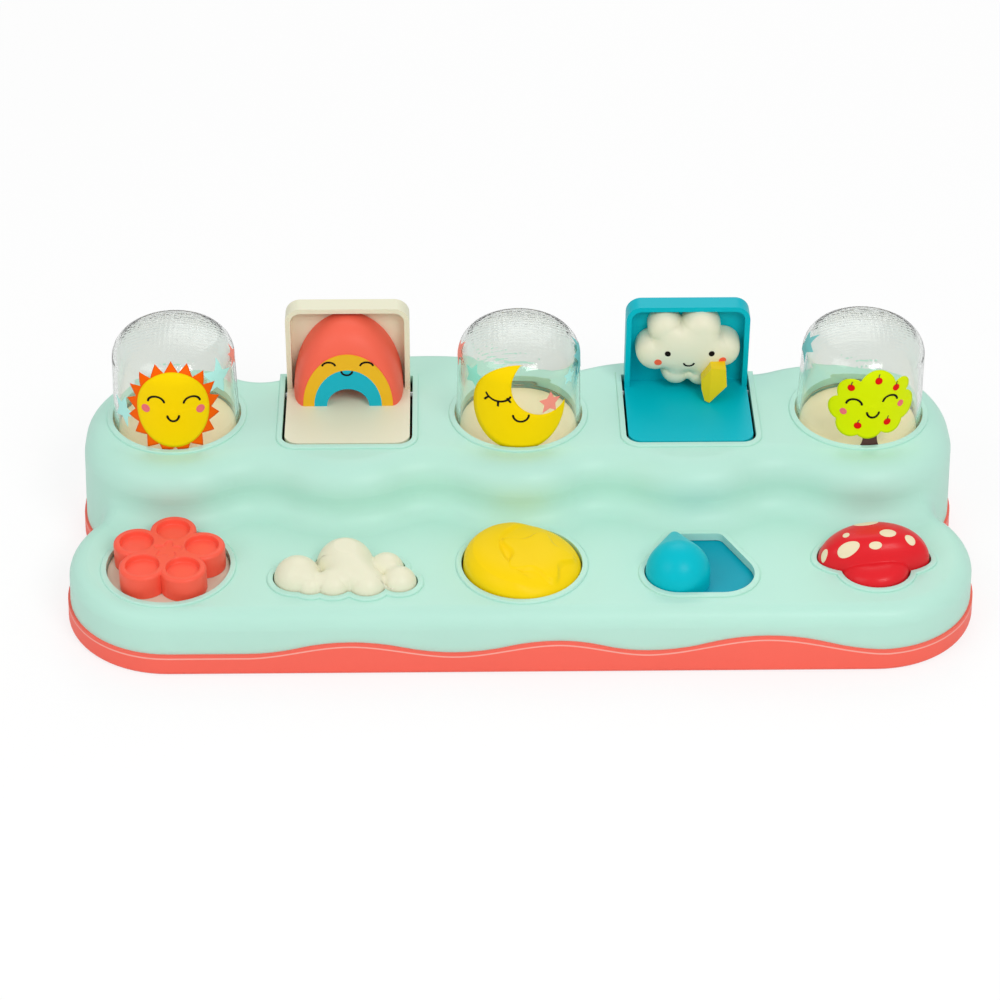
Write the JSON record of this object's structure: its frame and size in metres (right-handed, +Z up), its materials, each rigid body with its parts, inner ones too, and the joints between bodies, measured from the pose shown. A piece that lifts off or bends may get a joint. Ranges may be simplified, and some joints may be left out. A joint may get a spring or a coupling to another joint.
{
  "type": "pop up toy",
  "caption": "Low two-level pop up toy: clear press-down domes and hinged doors with figures on a back terrace, released by a dial, a button, rockers and a slider in front.",
  "frame": {"origin": "middle of the toy's footprint, on the surface it stands on", "axes": "+X along the length to the right as seen from the front, +Y to the back, +Z up"},
  "size_m": [0.3428, 0.148, 0.0884],
  "materials": {
    "mint_shell": "satin moulded plastic",
    "coral_tray": "satin moulded plastic",
    "clear_dome": "clear polished plastic",
    "cream_plastic": "satin moulded plastic",
    "teal_plastic": "satin moulded plastic",
    "coral_plastic": "soft satin plastic",
    "band_yellow": "soft satin plastic",
    "band_teal": "soft satin plastic",
    "bolt_yellow": "satin moulded plastic",
    "sun_yellow": "satin moulded plastic",
    "mushroom_red": "satin moulded plastic",
    "works_white": "plain moulded plastic",
    "steel": "bright zinc plated steel"
  },
  "bodies": {
    "root": {"upper_housing": "mint_shell", "base_tray": "coral_tray", "housing_screws": "steel", "sun_dome_spring": "steel", "moon_dome_spring": "steel", "tree_dome_spring": "steel", "rainbow_hinge_pin": "steel", "cloud_hinge_pin": "steel", "rainbow_hinge_spring": "steel", "cloud_hinge_spring": "steel", "sun_latch_spring": "steel", "moon_latch_spring": "steel", "tree_latch_spring": "steel", "cloud_button_spring": "steel", "dial_spring": "steel", "moon_rocker_pin": "steel", "mushroom_rocker_pin": "steel", "moon_rocker_spring": "steel", "mushroom_rocker_spring": "steel", "rainbow_lever_spring": "steel", "cloud_lever_spring": "steel"},
    "sun_pop": {"sun_dome": "clear_dome", "sun_platform": "cream_plastic"},
    "moon_pop": {"moon_dome": "clear_dome", "moon_platform": "cream_plastic"},
    "tree_pop": {"tree_dome": "clear_dome", "tree_platform": "cream_plastic"},
    "rainbow_door": {"rainbow_lid": "cream_plastic", "rainbow_arch": "coral_plastic", "rainbow_yellow_band": "band_yellow", "rainbow_teal_band": "band_teal"},
    "cloud_door": {"cloud_lid": "teal_plastic", "cloud_figure": "cream_plastic", "lightning_bolt": "bolt_yellow"},
    "flower": {"flower_dial": "coral_plastic", "flower_disc": "cream_plastic", "dial_crank": "works_white"},
    "cloud_push": {"cloud_button": "cream_plastic"},
    "moon_rock": {"moon_rocker": "sun_yellow"},
    "mushroom_rock": {"mushroom_rocker": "mushroom_red"},
    "raindrop": {"raindrop_knob": "teal_plastic", "raindrop_plate": "teal_plastic"},
    "sun_bar": {"sun_latch": "works_white"},
    "moon_bar": {"moon_latch": "works_white"},
    "tree_bar": {"tree_latch": "works_white"},
    "rainbow_link": {"rainbow_lever": "works_white"},
    "cloud_link": {"cloud_lever": "works_white"}
  },
  "joints": [
    {"name": "sun_pop", "type": "slide", "parent": "root", "child": "sun_pop", "axis": [0, 0, -1], "range_m": [0, 0.036], "stiffness_N_per_m": 60, "springref_m": -0.012, "deforming": ["sun_dome_spring"]},
    {"name": "moon_pop", "type": "slide", "parent": "root", "child": "moon_pop", "axis": [0, 0, -1], "range_m": [0, 0.036], "stiffness_N_per_m": 60, "springref_m": -0.012, "deforming": ["moon_dome_spring"]},
    {"name": "tree_pop", "type": "slide", "parent": "root", "child": "tree_pop", "axis": [0, 0, -1], "range_m": [0, 0.036], "stiffness_N_per_m": 60, "springref_m": -0.012, "deforming": ["tree_dome_spring"]},
    {"name": "rainbow_flip", "type": "hinge", "parent": "root", "child": "rainbow_door", "pos_m": [-0.066, 0.04795, 0.043], "axis": [1, 0, 0], "range_deg": [0, 90], "stiffness_Nm_per_rad": 0.02, "springref_deg": -34.38},
    {"name": "cloud_flip", "type": "hinge", "parent": "root", "child": "cloud_door", "pos_m": [0.066, 0.04795, 0.043], "axis": [1, 0, 0], "range_deg": [0, 90], "stiffness_Nm_per_rad": 0.02, "springref_deg": -34.38},
    {"name": "flower_turn", "type": "hinge", "parent": "root", "child": "flower", "pos_m": [-0.132, -0.04085, 0.02], "axis": [0, 0, 1], "range_deg": [0, 30], "stiffness_Nm_per_rad": 0.02, "springref_deg": -11.46},
    {"name": "cloud_press", "type": "slide", "parent": "root", "child": "cloud_push", "axis": [0, 0, -1], "range_m": [0, 0.004], "stiffness_N_per_m": 150, "springref_m": -0.003, "deforming": ["cloud_button_spring"]},
    {"name": "moon_tilt", "type": "hinge", "parent": "root", "child": "moon_rock", "pos_m": [0, -0.04085, 0.023], "axis": [0, -1, 0], "range_deg": [0, 14], "stiffness_Nm_per_rad": 0.04, "springref_deg": -5.73},
    {"name": "raindrop_push", "type": "slide", "parent": "root", "child": "raindrop", "axis": [1, 0, 0], "range_m": [0, 0.016], "stiffness_N_per_m": 20, "springref_m": -0.005},
    {"name": "mushroom_tilt", "type": "hinge", "parent": "root", "child": "mushroom_rock", "pos_m": [0.132, -0.04085, 0.023], "axis": [0, 1, 0], "range_deg": [0, 12], "stiffness_Nm_per_rad": 0.04, "springref_deg": -5.73},
    {"name": "sun_latch_slide", "type": "slide", "parent": "root", "child": "sun_bar", "axis": [0, -1, 0], "range_m": [0, 0.0036]},
    {"name": "moon_latch_slide", "type": "slide", "parent": "root", "child": "moon_bar", "axis": [0, -1, 0], "range_m": [0, 0.0034]},
    {"name": "tree_latch_slide", "type": "slide", "parent": "root", "child": "tree_bar", "axis": [0, -1, 0], "range_m": [0, 0.0029]},
    {"name": "rainbow_lever_turn", "type": "hinge", "parent": "root", "child": "rainbow_link", "pos_m": [-0.038, -0.00355, 0.0112], "axis": [0, 0, -1], "range_deg": [0, 6]},
    {"name": "cloud_lever_turn", "type": "hinge", "parent": "root", "child": "cloud_link", "pos_m": [0.035, 0.02045, 0.0112], "axis": [0, 0, 1], "range_deg": [0, 20.4]}
  ],
  "couplings": [
    {"joint": "sun_latch_slide", "follows": "flower_turn", "m_per_rad": 0.006685},
    {"joint": "moon_latch_slide", "follows": "moon_tilt", "m_per_rad": 0.013505},
    {"joint": "tree_latch_slide", "follows": "mushroom_tilt", "m_per_rad": 0.013369},
    {"joint": "rainbow_lever_turn", "follows": "cloud_press", "rad_per_m": 25.744},
    {"joint": "cloud_lever_turn", "follows": "raindrop_push", "rad_per_m": 21.991}
  ]
}
